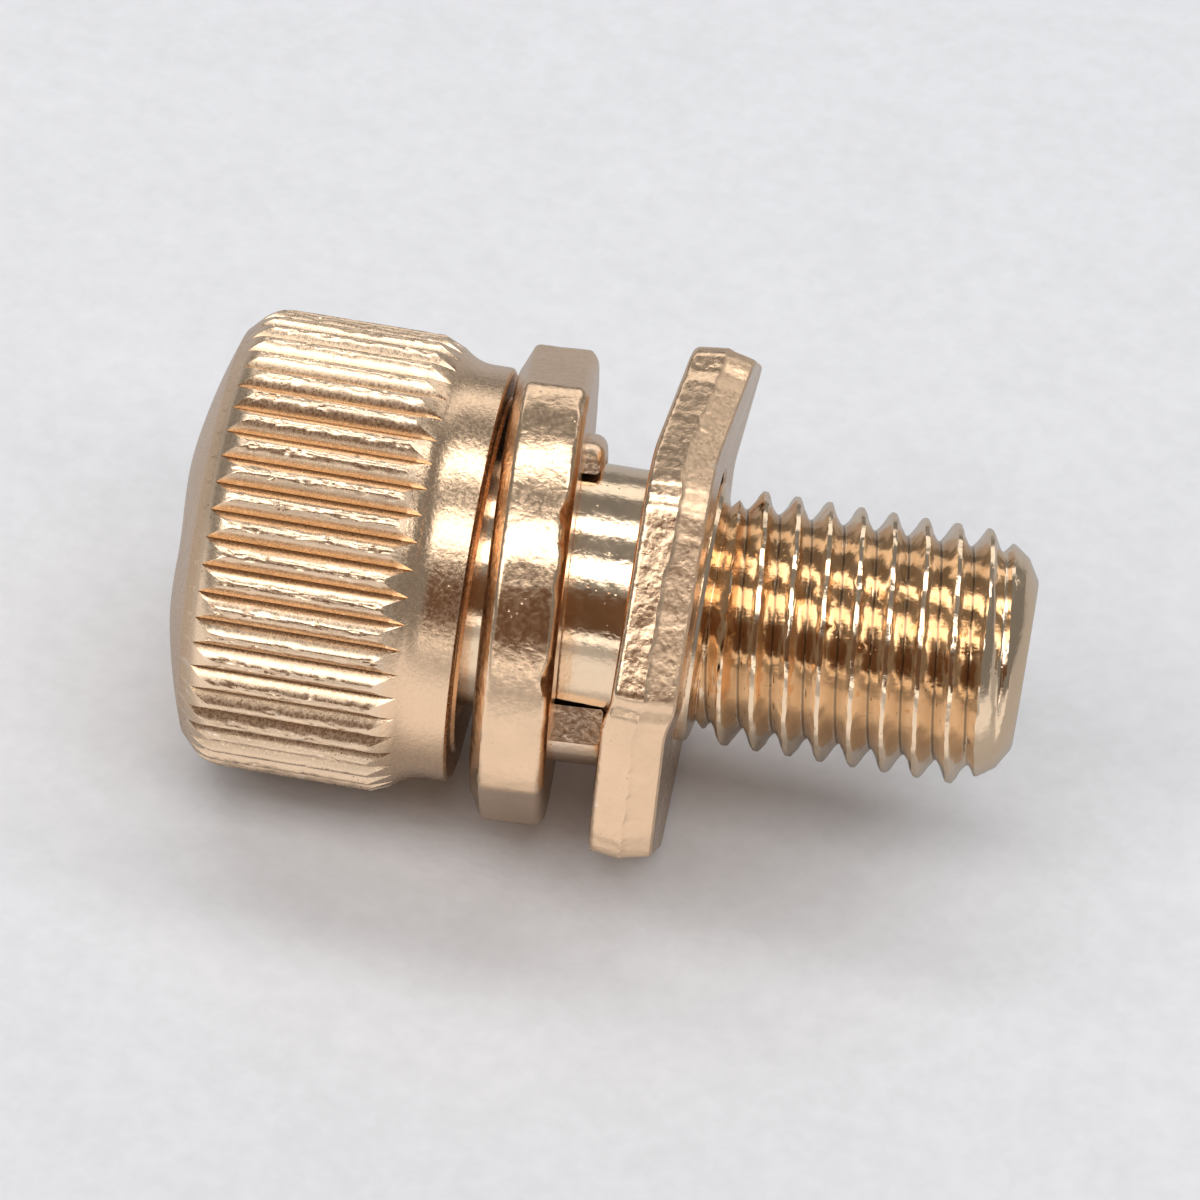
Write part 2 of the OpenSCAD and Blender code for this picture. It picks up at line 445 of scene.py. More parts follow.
class Repeater(Group):
    """A Geometry Nodes tree that repeats a slice round the axis."""

    ENDS = ("Start", "End", "Root radius", "Run-out slope", "Lead start", "Crest radius", "Lead slope")

    def __init__(self, name: str, threaded: bool) -> None:
        """Builds the tree.

        Args:
            name: The tree's name.
            threaded: Whether each slice also moves along the axis, for a helix whose
                ends run out, or stays in a ring.
        """
        super().__init__(name, "GeometryNodeTree")
        maths, node = self.maths, self.node
        piece, slices = self.take("Geometry", "Geometry"), self.take("Slices", "Int")
        per_turn, starts = self.take("Slices per turn"), self.take("Starts", "Int")
        advance, finish = self.take("Advance"), self.take("Finish", "Material")
        count = maths("MULTIPLY", slices, starts)
        line = node("GeometryNodeMeshLine", {"Count": count, "Offset": (0.0, 0.0, 0.0)}, mode="OFFSET")
        index = node("GeometryNodeInputIndex").outputs[0]
        step = maths("MODULO", index, slices)
        start = maths("FLOOR", maths("DIVIDE", index, slices))
        shares = maths("DIVIDE", step, per_turn), maths("DIVIDE", start, starts)
        turn = maths("MULTIPLY", 2 * pi, maths("ADD", *shares))
        place = node("ShaderNodeCombineXYZ", {"X": maths("MULTIPLY", step, advance)}).outputs[0]
        moved = node("GeometryNodeSetPosition", {"Geometry": line.outputs[0], "Position": place})
        angles = node("ShaderNodeCombineXYZ", {"X": turn}).outputs[0]
        copies = node("GeometryNodeInstanceOnPoints", {
            "Points": moved.outputs[0], "Instance": piece, "Rotation": angles})
        solid = node("GeometryNodeRealizeInstances", {"Geometry": copies.outputs[0]}).outputs[0]
        if threaded:
            solid = node("GeometryNodeSetPosition", {
                "Geometry": solid, "Position": self.held_ends()}).outputs[0]
        merged = node("GeometryNodeMergeByDistance", {"Geometry": solid, "Distance": 0.0005}).outputs[0]
        dressed = node("GeometryNodeSetMaterial", {"Geometry": merged, "Material": finish})
        self.give({"Geometry": dressed.outputs[0]}, "Geometry")

    def held_ends(self) -> Socket:
        """Gives each point's place with the helix cut off and tapered at both ends.

        Returns:
            The held place.
        """
        maths, node = self.maths, self.node
        begin, end, root, run_out, lead, crest, slope = (self.take(label) for label in self.ENDS)
        where = node("ShaderNodeSeparateXYZ", {0: node("GeometryNodeInputPosition").outputs[0]})
        x, y, z = where.outputs
        radius = maths("SQRT", maths("ADD", maths("MULTIPLY", y, y), maths("MULTIPLY", z, z)))
        held = maths("MINIMUM", maths("MAXIMUM", x, begin), end)
        rise = maths("MULTIPLY_ADD", maths("SUBTRACT", held, begin), run_out, root)
        fall = maths("SUBTRACT", crest, maths("MULTIPLY", maths("SUBTRACT", held, lead), slope))
        scale = maths("DIVIDE", maths("MINIMUM", radius, maths("MINIMUM", rise, fall)), radius)
        return node("ShaderNodeCombineXYZ", {
            "X": held, "Y": maths("MULTIPLY", y, scale), "Z": maths("MULTIPLY", z, scale)}).outputs[0]

    def run(self, obj: Object, values: dict[str, object]) -> None:
        """Runs the tree on an object and keeps the result as its plain mesh.

        Args:
            obj: The object that carries the repeated piece.
            values: The tree's inputs by name.
        """
        modifier = obj.modifiers.new(self.tree.name, "NODES")
        modifier.node_group = self.tree
        for name, value in values.items():
            modifier[self.sockets[name]] = value
        bpy.context.view_layer.update()
        graph = bpy.context.evaluated_depsgraph_get()
        result = bpy.data.meshes.new_from_object(
            obj.evaluated_get(graph), preserve_all_data_layers=True, depsgraph=graph)
        obj.modifiers.remove(modifier)
        obj.data = result


# ---- finishes


def tumbled_skin_group() -> Tree:
    """Builds the skin that tumbling leaves: fine peening, shallow dents and a few pits.

    Returns:
        The group, which gives Height, Dull and Dark.
    """
    group = Group("TumbledSkin", "ShaderNodeTree")
    place, fine, coarse = group.take("Place", "Vector"), group.take("Grain"), group.take("Dents", value=5.5)
    hammer, many = group.take("Hammer"), group.take("Pits", value=5.0)
    grain = group.cloud(place, fine, 4.0, 0.62)
    pits = group.node("ShaderNodeTexVoronoi", {"Vector": place, "Scale": many, "Randomness": 1.0})
    rare = group.ramp(group.cloud(place, 0.9, 2.0), 0.52, 0.62)
    pit = group.maths("MULTIPLY", group.ramp(pits.outputs["Distance"], 0.05, 0.16, 1.0, 0.0), rare)
    height = group.maths("MULTIPLY_ADD", group.cloud(place, coarse, 1.0), hammer, grain)
    height = group.maths("MULTIPLY_ADD", pit, -0.9, height)
    return group.give({"Height": height, "Dull": group.ramp(grain, 0.35, 0.65), "Dark": pit})


def edge_wear_group() -> Tree:
    """Builds two masks: ridges rubbed bright, and concave corners darker.

    Returns:
        The group, which gives Worn and Sooty.
    """
    group = Group("EdgeWear", "ShaderNodeTree")
    place, size = group.take("Place", "Vector"), group.take("Break-up", value=9.0)
    pointed = group.node("ShaderNodeNewGeometry").outputs["Pointiness"]
    uneven = group.maths("SUBTRACT", group.cloud(place, size, 3.0), 0.5)
    broken = group.maths("MULTIPLY_ADD", uneven, 0.06, pointed)
    # Concave corners, found by pointiness, are marked to be darkened.
    darkened = group.maths("SUBTRACT", 1.0, group.ramp(broken, 0.38, 0.46))
    return group.give({"Worn": group.ramp(broken, 0.54, 0.62), "Concave": darkened})


class Dressing(Nodes):
    """A material's nodes round its Principled surface."""

    def __init__(self, name: str) -> None:
        """Starts a material.

        Args:
            name: Its name.
        """
        self.material = bpy.data.materials.new(name)
        self.material.use_nodes = True
        super().__init__(self.material.node_tree)

    def dress(self, inputs: dict[str, object]) -> Material:
        """Sets the surface's inputs by name, and gives the material.

        Args:
            inputs: Plain values or sockets by name.

        Returns:
            The material.
        """
        for key, value in inputs.items():
            self.join(self.tree.nodes["Principled BSDF"].inputs[key], value)
        return self.material

    def bump(self, height: Socket, strength: float, depth: float) -> Socket:
        """Adds a bump and gives its normal. The depth is in metres."""
        return self.node("ShaderNodeBump", {
            "Height": height, "Strength": strength, "Distance": depth}).outputs[0]


@dataclass(frozen=True)
class BronzeFinish:
    """A bronze finish: its colours, gloss and relief."""

    name: str
    roughness: float
    colour: Colour = (0.92, 0.65, 0.43)
    worn_colour: Colour = (1.0, 0.78, 0.58)
    # Dark tint: darkens pits and concave corners, and also paints shade into the grooves.
    dirt_and_shade_colour: Colour = (0.36, 0.2, 0.08)
    blotch_tone: float = 0.93
    roughness_spread: float = 0.12
    relief: float = 0.5
    relief_depth: float = 0.012
    grain: float = 12.0
    hammer: float = 1.0
    dirt_and_shade: float = 0.4
    # How much painted shade the knurl's grooves and the thread's roots get.
    groove_shade: float = 0.75

    def build(self, groups: dict[str, Tree]) -> Material:
        """Makes the material.

        Args:
            groups: The shared shader groups by name.

        Returns:
            A node material.
        """
        shade = Dressing(self.name)
        level = Rest().matrix().inverted().to_euler()
        place = shade.node("ShaderNodeMapping", {
            "Vector": shade.node("ShaderNodeTexCoord").outputs["Object"],
            "Rotation": (0.0, level.y, 0.0), "Scale": (1 / MM, 1 / MM, 1 / MM)}).outputs[0]
        wear = shade.node("ShaderNodeGroup", {"Place": place}, node_tree=groups["wear"])
        skin = shade.node("ShaderNodeGroup", {"Place": place, "Grain": self.grain, "Hammer": self.hammer},
                          node_tree=groups["tumbled"])
        dark = shade.maths("MAXIMUM", skin.outputs["Dark"], wear.outputs["Concave"])
        # Painted shade: the knurl's grooves and the thread's roots darken with their depth.
        hollow = shade.node("ShaderNodeAttribute", attribute_name="hollow").outputs["Fac"]
        dark = shade.maths("MAXIMUM", dark, shade.ramp(hollow, 0.35, 1.0, 0.0, self.groove_shade))
        blotch = shade.ramp(shade.cloud(place, 0.7, 3.0), 0.3, 0.7)
        tone = shade.mix(blotch, tuple(c * self.blotch_tone for c in self.colour), self.colour)
        worn = shade.mix(wear.outputs["Worn"], tone, self.worn_colour)
        # The dark tint, mixed in over pits, concave corners and the painted groove shade.
        darkened = shade.mix(shade.maths("MULTIPLY", dark, self.dirt_and_shade), worn, self.dirt_and_shade_colour)
        # Painted shade: the very bottoms of the grooves darken further.
        deep = shade.mix(shade.ramp(hollow, 0.965, 1.0, 0.0, 0.85), darkened, GROOVE_FLOOR_SHADE)
        dull = shade.maths("MULTIPLY_ADD", skin.outputs["Dull"], self.roughness_spread, self.roughness)
        bump = shade.bump(skin.outputs["Height"], self.relief, self.relief_depth * MM)
        return shade.dress({"Metallic": 1.0, "Roughness": dull, "Normal": bump, "Base Color": deep})


# ---- the screw


@dataclass
class Head:
    """The knurled head: dished crown, rounded corner, 51 ridges, flare, collar and boss."""

    radius: float = 5.35
    height: float = 7.12
    crown_radius: float = 13.0
    crown_band: float = 1.2
    corner_radius: float = 0.9
    ridges: int = 51
    groove_depth: float = 0.26
    land: float = 0.14
    land_edge: float = 0.1
    collar_radius: float = 4.85
    collar_length: float = 1.75
    flare_length: float = 0.5
    flare_drop: float = 0.22
    neck_length: float = 0.55
    trough_width: float = 4.2
    trough_depth: float = 0.27
    trough_side: float = 10.0
    boss_radius: float = 4.15
    boss_height: float = 0.08
    run_steps: int = 38
    side_columns: tuple[float, ...] = (0.1, 0.16, 0.24, 0.4, 0.6, 0.8, 0.96, 1)

    @property
    def half_pitch(self) -> float:
        """Half the angle from one ridge to the next, in degrees."""
        return 180 / self.ridges

    def sag(self, r: float) -> float:
        """Gives the crown's fall at a radius."""
        return self.crown_radius - sqrt(self.crown_radius ** 2 - r * r)

    def outline(self) -> Outline:
        """Gives the head's outline.

        Returns:
            Distances along and from the axis, from the crown's centre to the bearing side.
        """
        low, radius, corner = -self.height, self.radius, self.corner_radius
        corner_x = low + self.sag(radius - corner * 0.55) + corner
        edge_r = radius - corner * 0.62
        points = [(low + self.sag(edge_r * i / 24), edge_r * i / 24) for i in range(25)]
        for i in range(1, 13):
            a = radians(148 - 58 * i / 12)
            points.append((corner_x + corner * cos(a), radius - corner + corner * sin(a)))
        shoulder = -self.collar_length
        flare_x, flare_r = shoulder + self.flare_length, radius - self.flare_drop
        points += spaced((corner_x, radius), (shoulder, radius), 8)
        points += spaced((shoulder, radius), (flare_x, flare_r), 4)
        for i in range(1, 9):
            u = i / 8
            points.append((flare_x + (-self.neck_length - flare_x) * u,
                           self.collar_radius + (flare_r - self.collar_radius) * (1 - u) ** 2))
        points += [(-0.1, self.collar_radius), (-0.05, self.collar_radius - 0.02),
                   (0.0, self.collar_radius - 0.1), (0.0, self.boss_radius + 0.02),
                   (self.boss_height, self.boss_radius - 0.03), (self.boss_height, 0.0)]
        return points

    def groove_radius(self, angle: float) -> float:
        """Gives the knurl's radius at an angle from a ridge's middle.

        Args:
            angle: Degrees from the ridge's middle.

        Returns:
            The radius, with the ridge's edges slightly rounded.
        """
        flat = self.half_pitch * self.land
        u = eased((abs(angle) - flat) / (self.half_pitch - flat), self.land_edge)
        return self.radius - self.groove_depth * min(u, 1.0) ** 1.3

    @staticmethod
    def cut(points: Outline, limit: float) -> Outline:
        """Keeps an outline up to a radius limit, and respaces it to its full count.

        Args:
            points: The outline, from a smaller radius to a larger one.
            limit: The radius at which it is cut off.

        Returns:
            As many points as before, none beyond the limit.
        """
        kept = [points[0]]
        for a, b in zip(points, points[1:]):
            if b[1] > limit:
                u = (limit - a[1]) / (b[1] - a[1])
                kept.append((a[0] + (b[0] - a[0]) * u, limit))
                break
            kept.append(b)
        while len(kept) < len(points):
            gaps = [math.dist(p, q) for p, q in zip(kept, kept[1:])]
            i = len(gaps) - 1 - gaps[::-1].index(max(gaps[-4:]))
            kept.insert(i + 1, tuple((p + q) / 2 for p, q in zip(kept[i], kept[i + 1])))
        return kept

    def sector(self) -> Object:
        """Builds one ridge with half a groove at each side.

        Each column follows the outline up to where its groove starts, then the groove,
        then the outline again, so the groove's pointed ends have crisp edges.

        Returns:
            An open slice in the screw's frame.
        """
        outline = self.outline()
        peak = max(range(len(outline)), key=lambda i: (outline[i][1], -outline[i][0]))
        last = max(i for i, p in enumerate(outline) if p[1] >= self.radius - 1e-9)
        mesh = bmesh.new()
        grid = []
        for share in (*(-v for v in self.side_columns[::-1]), 0, *self.side_columns):
            angle = self.half_pitch * share
            limit = self.groove_radius(angle)
            front = self.cut(outline[: peak + 1], limit)
            back = self.cut(outline[:last - 1: -1], limit)[::-1]
            run = spaced((front[-1][0], limit), (back[0][0], limit), self.run_steps)[:-1]
            grid.append(column(mesh, front + run + back, radians(angle)))
        lay_faces(mesh, grid, False)
        return new_object("head_slice", mesh)

    def dish(self, vert: Vert, across: float, r: float) -> None:
        """Sinks a point of the crown into the dished groove.

        Args:
            vert: A point of the head.
            across: Its distance from the groove's middle line.
            r: Its distance from the axis.
        """
        half = self.trough_width / 2
        if vert.co.x > -self.height + self.crown_band or abs(across) >= half:
            return
        floor = -self.height + self.trough_depth * cos(pi / 2 * across / half) ** 2
        fade = clamp((4.6 - r) / 1.2)
        vert.co.x = max(vert.co.x, floor, vert.co.x + 0.45 * fade * (floor + self.height))

    def nick(self, vert: Vert, r: float) -> None:
        """Nicks the knurl's ridges along their tops, as rolling and tumbling do.

        Args:
            vert: A point of the head.
            r: Its distance from the axis.
        """
        if r < self.radius - 0.035 or vert.co.x > -self.collar_length:
            return
        place = Vector((vert.co.x * 1.3, vert.co.y * 3.0, vert.co.z * 3.0))
        narrow(vert, max(0.0, ball_noise(place, 0.3, 3) - 0.05) * 0.05 / r)

    def build(self, finish: Material) -> Object:
        """Repeats the ridge round the head, dishes its crown and nicks its ridges.

        Args:
            finish: The head's material.

        Returns:
            The closed head, in the screw's frame.
        """
        head = self.sector()
        Repeater("KnurlRing", False).run(head, {
            "Slices": self.ridges, "Slices per turn": float(self.ridges),
            "Starts": 1, "Advance": 0.0, "Finish": finish})
        mesh = bmesh.new()
        mesh.from_mesh(head.data)
        turn_mesh(mesh, Matrix.Rotation(-pi / 2 + radians(self.half_pitch), 3, "X"))
        close_up(mesh, 1e-4)
        across_y, across_z = side(self.trough_side + 90)
        for vert in mesh.verts:
            r = off_axis(vert.co)
            self.dish(vert, vert.co.y * across_y + vert.co.z * across_z, r)
            self.nick(vert, r)
        mesh.to_mesh(head.data)
        mesh.free()
        return head


@dataclass
class Stem:
    """The plain shank, the two-start thread and the tapered tip."""

    shank_radius: float = 3.025
    shank_end: float = 5.3
    crest_radius: float = 2.985
    root_radius: float = 2.5
    pitch: float = 0.75
    starts: int = 2
    thread_start: float = 5.42
    run_out: float = 1.1
    thread_end: float = 12.4
    lead_start: float = 11.65
    lead_slope: float = 0.72
    tip_radius: float = 1.975
    length: float = 12.7
    crest_at: float = 0.711
    per_turn: int = 144
    flank: tuple[tuple[float, float], ...] = (
        (-0.5, 0.0), (-0.47, 0.01), (-0.42, 0.07), (-0.33, 0.25), (-0.24, 0.47),
        (-0.15, 0.78), (-0.09, 0.93), (-0.065, 0.985))

    @property
    def lead(self) -> float:
        """How far one ridge moves along in a turn."""
        return self.pitch * self.starts

    @property
    def first_x(self) -> float:
        """Where the first slice stands, ahead of the thread's start."""
        whole = math.floor((self.thread_start - 2 * self.lead - self.crest_at) / self.lead)
        return self.crest_at + self.lead * whole

    @property
    def turns(self) -> int:
        """The helix's turns, with some to be cut off at each end."""
        return math.ceil((self.thread_end + self.lead - self.first_x) / self.lead) + 1

    def slice(self) -> Object:
        """Builds one thin slice of one ridge of the thread.

        Returns:
            An open strip in the screw's frame.
        """
        depth = self.crest_radius - self.root_radius
        knots = [*self.flank, (0.0, 1.0), *((-p, h) for p, h in reversed(self.flank))]
        mesh = bmesh.new()
        columns = []
        for j in range(2):
            ahead = self.lead * j / self.per_turn
            outline = [(p * self.pitch + ahead, self.root_radius + depth * h) for p, h in knots]
            columns.append(column(mesh, outline, 2 * pi * j / self.per_turn))
        lay_faces(mesh, columns, False)
        bmesh.ops.translate(mesh, verts=mesh.verts, vec=(self.first_x, 0, 0))
        return new_object("thread_slice", mesh)

    def wear(self, vert: Vert) -> None:
        """Nicks the thread's crests and makes its flanks slightly wavy.

        Args:
            vert: A point of the stem.
        """
        r = off_axis(vert.co)
        height = r - self.root_radius - 0.03
        if not self.thread_start + 0.1 <= vert.co.x <= self.length - 0.3 or height < 0:
            return
        pull = abs(0.026 * ball_noise(vert.co, 0.5))
        if r > self.crest_radius - 0.05:
            pull += max(0.0, ball_noise(vert.co, 0.13) - 0.02) * 0.035
        sway = 0.024 * ball_noise(vert.co + Vector((0, 0, 20)), 0.42)
        vert.co.x += sway * min(1.0, height / 0.08)
        narrow(vert, pull / r)

    def build(self, finish: Material) -> Object:
        """Builds the shank, thread and tip as one closed surface.

        Args:
            finish: The stem's material.

        Returns:
            The stem, in the screw's frame, with its root inside the head.
        """
        stem = self.slice()
        Repeater("ThreadHelix", True).run(stem, {
            "Slices": self.turns * self.per_turn, "Slices per turn": float(self.per_turn),
            "Starts": self.starts, "Advance": self.lead / self.per_turn, "Finish": finish,
            "Start": self.thread_start, "End": self.thread_end, "Root radius": self.root_radius,
            "Run-out slope": self.run_out, "Lead start": self.lead_start,
            "Crest radius": self.crest_radius, "Lead slope": self.lead_slope})
        end_r = self.crest_radius - (self.thread_end - self.lead_start) * self.lead_slope
        shank_r, shank_x, tip_r = self.shank_radius, self.shank_end, self.tip_radius
        shank = [(-0.3, 0.0), (-0.3, shank_r), (shank_x - 0.12, shank_r), (shank_x - 0.03, shank_r - 0.05),
                 (shank_x, shank_r - 0.14), (self.thread_start - 0.01, self.root_radius),
                 (self.thread_start, self.root_radius)]
        tip = [(self.thread_end, end_r), (self.length - 0.08, tip_r + 0.1), (self.length - 0.02, tip_r),
               (self.length, tip_r - 0.1), (self.length, tip_r * 0.5), (self.length, 0.0)]
        whole = bmesh.new()
        whole.from_mesh(stem.data)
        for outline in (shank, tip):
            absorb(whole, revolve(outline, self.per_turn))
        close_up(whole)
        for vert in whole.verts:
            self.wear(vert)
        whole.to_mesh(stem.data)
        whole.free()
        return stem


@dataclass
class Screw:
    """The whole screw, one piece of metal."""

    head: Head = field(default_factory=Head)
    stem: Stem = field(default_factory=Stem)

    def slot_of(self, face: bmesh.types.BMFace) -> Slot:
        """Gives the material slot of a face of the head.

        Args:
            face: The face.

        Returns:
            Its slot.
        """
        middle, head = face.calc_center_median(), self.head
        r = off_axis(middle)
        if r > head.radius - 0.45 and middle.x < -head.collar_length + 0.3:
            return Slot.KNURL
        crowned = r < head.radius - 0.65 and middle.x < head.crown_band - head.height
        return Slot.CROWN if crowned else Slot.HEAD

    def mark_hollows(self, mesh: Mesh) -> None:
        """Stores how deep each point lies in the knurl or the thread, for the finish to paint shade into
        the grooves.

        Args:
            mesh: The whole screw, in its own frame.
        """
        layer = mesh.verts.layers.float.new("hollow")
        head, stem = self.head, self.stem
        for vert in mesh.verts:
            r, depth = off_axis(vert.co), 0.0
            if vert.co.x < -head.collar_length + 0.2 and r > head.radius - 0.3:
                turn = degrees(atan2(vert.co.z, vert.co.y)) + 90
                limit = head.groove_radius(turn % (2 * head.half_pitch) - head.half_pitch)
                if abs(r - limit) < 0.004:
                    depth = (head.radius - r) / head.groove_depth
            elif stem.thread_start < vert.co.x < stem.lead_start:
                depth = (stem.crest_radius - r) / (stem.crest_radius - stem.root_radius)
            vert[layer] = clamp(depth)

    def build(self, finishes: dict[Slot, Material]) -> Object:
        """Builds the head and the stem and joins them in one object.

        Args:
            finishes: The material of each slot, in their order.

        Returns:
            The screw in the rest position.
        """
        stem = self.stem.build(finishes[Slot.STEM])
        head = self.head.build(finishes[Slot.HEAD])
        whole = bmesh.new()
        whole.from_mesh(stem.data)
        stem_faces = len(whole.faces)
        whole.from_mesh(head.data)
        whole.faces.ensure_lookup_table()
        for i, face in enumerate(whole.faces):
            face.material_index = Slot.STEM if i < stem_faces else self.slot_of(face)
        self.mark_hollows(whole)
        for obj in (head, stem):
            bpy.data.objects.remove(obj)
        return lie_down("knurled_screw", whole, 28, *finishes.values())


# ---- the washers


@dataclass
class DogWasher:
    """The bevelled washer next to the head, with a long and a short dog on its far face."""

    bore: float = 3.2
    bore_edge: float = 0.08
    radius: float = 5.55
    bevel_along: float = 0.3
    bevel_across: float = 0.65
    rim: float = 1.3
    back: float = 0.16
    back_across: float = 0.2
    lean: float = 3.0
    lean_side: float = 60.0
    boss_height: float = 0.08
    boss_radius: float = 4.15
    dog_length: float = 1.2
    dog_bore: float = 3.135
    dog_width: float = 3.3
    dog_side: float = 90.0
    dog_root: float = 0.25
    dog_edge: float = 0.12
    dog_columns: int = 17
    columns: int = 288
    flats: tuple[tuple[float, float], ...] = ((-72.0, 0.25), (76.0, 0.25))
    marks: Marks = (
        (-50.0, 3.0, 0.10), (-17.0, 3.2, 0.26), (-11.0, 2.0, 0.14), (0.0, 2.2, 0.10),
        (22.8, 3.4, 0.22), (38.0, 2.5, 0.08), (160.0, 3.0, 0.15), (-120.0, 2.5, 0.18))

    @property
    def thickness(self) -> float:
        """The washer's thickness at its rim."""
        return self.bevel_along + self.rim + self.back

    def section(self, turn: float) -> Outline:
        """Gives the cross-section at a side, with that side's flats and dents.

        Args:
            turn: The column's turn about +X from +Y, in radians.

        Returns:
            The closed loop, from the bore's head side round the rim and back.
        """
        angle, r = side_at(turn), self.radius
        for flat, depth in self.flats:
            gap = radians(wrap(angle - flat))
            if abs(gap) < 1.2:
                r = min(r, (self.radius - depth) / cos(gap))
        dent, t, b, bevel = dents(angle, self.marks), self.thickness, self.bore, self.bevel_along
        face_r, back_x = self.radius - self.bevel_across, t - self.back - dent * 0.5
        lip_r = r - self.back_across - dent * 0.6
        out = [(self.bore_edge, b), (0.0, b + self.bore_edge)]
        out += spaced((0.0, b + self.bore_edge), (0.0, face_r), 6)[:-1]
        out += [(0.0, face_r - 0.06), (0.02, face_r + 0.02)]
        for i in range(5):
            share = 0.08 + 0.84 * i / 4
            out.append((bevel * share, face_r + (r - face_r) * share))
        out += [(bevel + 0.03, r - 0.015), (bevel + 0.1, r)]
        out += spaced((bevel + 0.1, r), (back_x - 0.06, r), 10)
        out += [(back_x, r - 0.02), ((back_x + t) / 2, r - self.back_across * 0.5 - dent * 0.35),
                (t - 0.015, lip_r), (t, lip_r - 0.05)]
        out += spaced((t, lip_r - 0.05), (t, b + self.bore_edge), 6)
        return out + [(t - self.bore_edge, b), (t * 0.5, b)]

    def dog(self, reach: float, length: float, rounding: float, turn: float) -> Mesh:
        """Builds a dog: a lug with its inside on the bore and its outside round.

        Args:
            reach: Its outer radius.
            length: How far it stands out of the washer.
            rounding: The radius of its outer end.
            turn: Its side, from the lean side, in degrees.

        Returns:
            The closed lug, sunk a little into the washer.
        """
        mesh = bmesh.new()
        half, base, rows = self.dog_width / 2, self.thickness - self.dog_root, []
        for j in range(self.dog_columns):
            across = -half + self.dog_width * j / (self.dog_columns - 1)
            soft = self.dog_edge * max(0.0, (abs(across) - half + self.dog_edge) / self.dog_edge) ** 2
            inner = sqrt(self.dog_bore ** 2 - across ** 2)
            outer = sqrt(reach ** 2 - across ** 2) - soft
            end = base + self.dog_root + length - soft * 0.7
            loop = [(base, inner), (base, outer), (end - rounding, outer)]
            for i in range(1, 6):
                a = pi / 2 * i / 5
                loop.append((end - rounding + rounding * sin(a),
                             outer - rounding + rounding * cos(a)))
            loop += [(end, inner + 0.06), (end - 0.05, inner)]
            rows.append([mesh.verts.new((x, across, z)) for x, z in loop])
        lay_faces(mesh, rows, True)
        mesh.faces.new(rows[0])
        mesh.faces.new(rows[-1][::-1])
        bmesh.ops.recalc_face_normals(mesh, faces=mesh.faces)
        turn_mesh(mesh, Matrix.Rotation(radians(turn), 3, "X"))
        return mesh

    def peen(self, vert: Vert) -> None:
        """Roughens a point of the washer's outside slightly.

        Args:
            vert: A point of the washer.
        """
        if off_axis(vert.co) <= self.bore + 0.1:
            return
        push = 0.014 * ball_noise(vert.co, 0.9) + 0.008 * ball_noise(vert.co, 0.3)
        narrow(vert, abs(push) / self.radius)
        vert.co.x += 0.25 * push if vert.co.x > self.thickness * 0.6 else 0.0

    def build(self, finish: Material) -> Object:
        """Builds the washer, leaning on the shank.

        The ring is built with its own sides and then leans as a whole, so its columns
        are named by the same sides as the screw's.

        Args:
            finish: The washer's material.

        Returns:
            The washer in the rest position.
        """
        mesh = ring_body(self.section, self.columns)
        for vert in mesh.verts:
            self.peen(vert)
        y, z = side(self.lean_side)
        to_lean = Matrix.Rotation(atan2(-y, z), 3, "X")
        turn_mesh(mesh, to_lean.inverted())
        below = self.dog_side - self.lean_side
        absorb(mesh, self.dog(self.bore + 0.78, self.dog_length, 0.15, below))
        absorb(mesh, self.dog(self.bore + 0.44, 0.45, 0.3, below + 180))
        lean = radians(self.lean)
        turn_mesh(mesh, Matrix.Rotation(lean, 3, "Y"))
        shift = (self.thickness + self.dog_length) / 2 * sin(lean)
        face_x = self.boss_height + self.boss_radius * tan(lean) + 0.02
        bmesh.ops.translate(mesh, verts=mesh.verts, vec=(face_x, 0, shift))
        turn_mesh(mesh, to_lean)
        return lie_down("bevelled_washer", mesh, 30, finish)


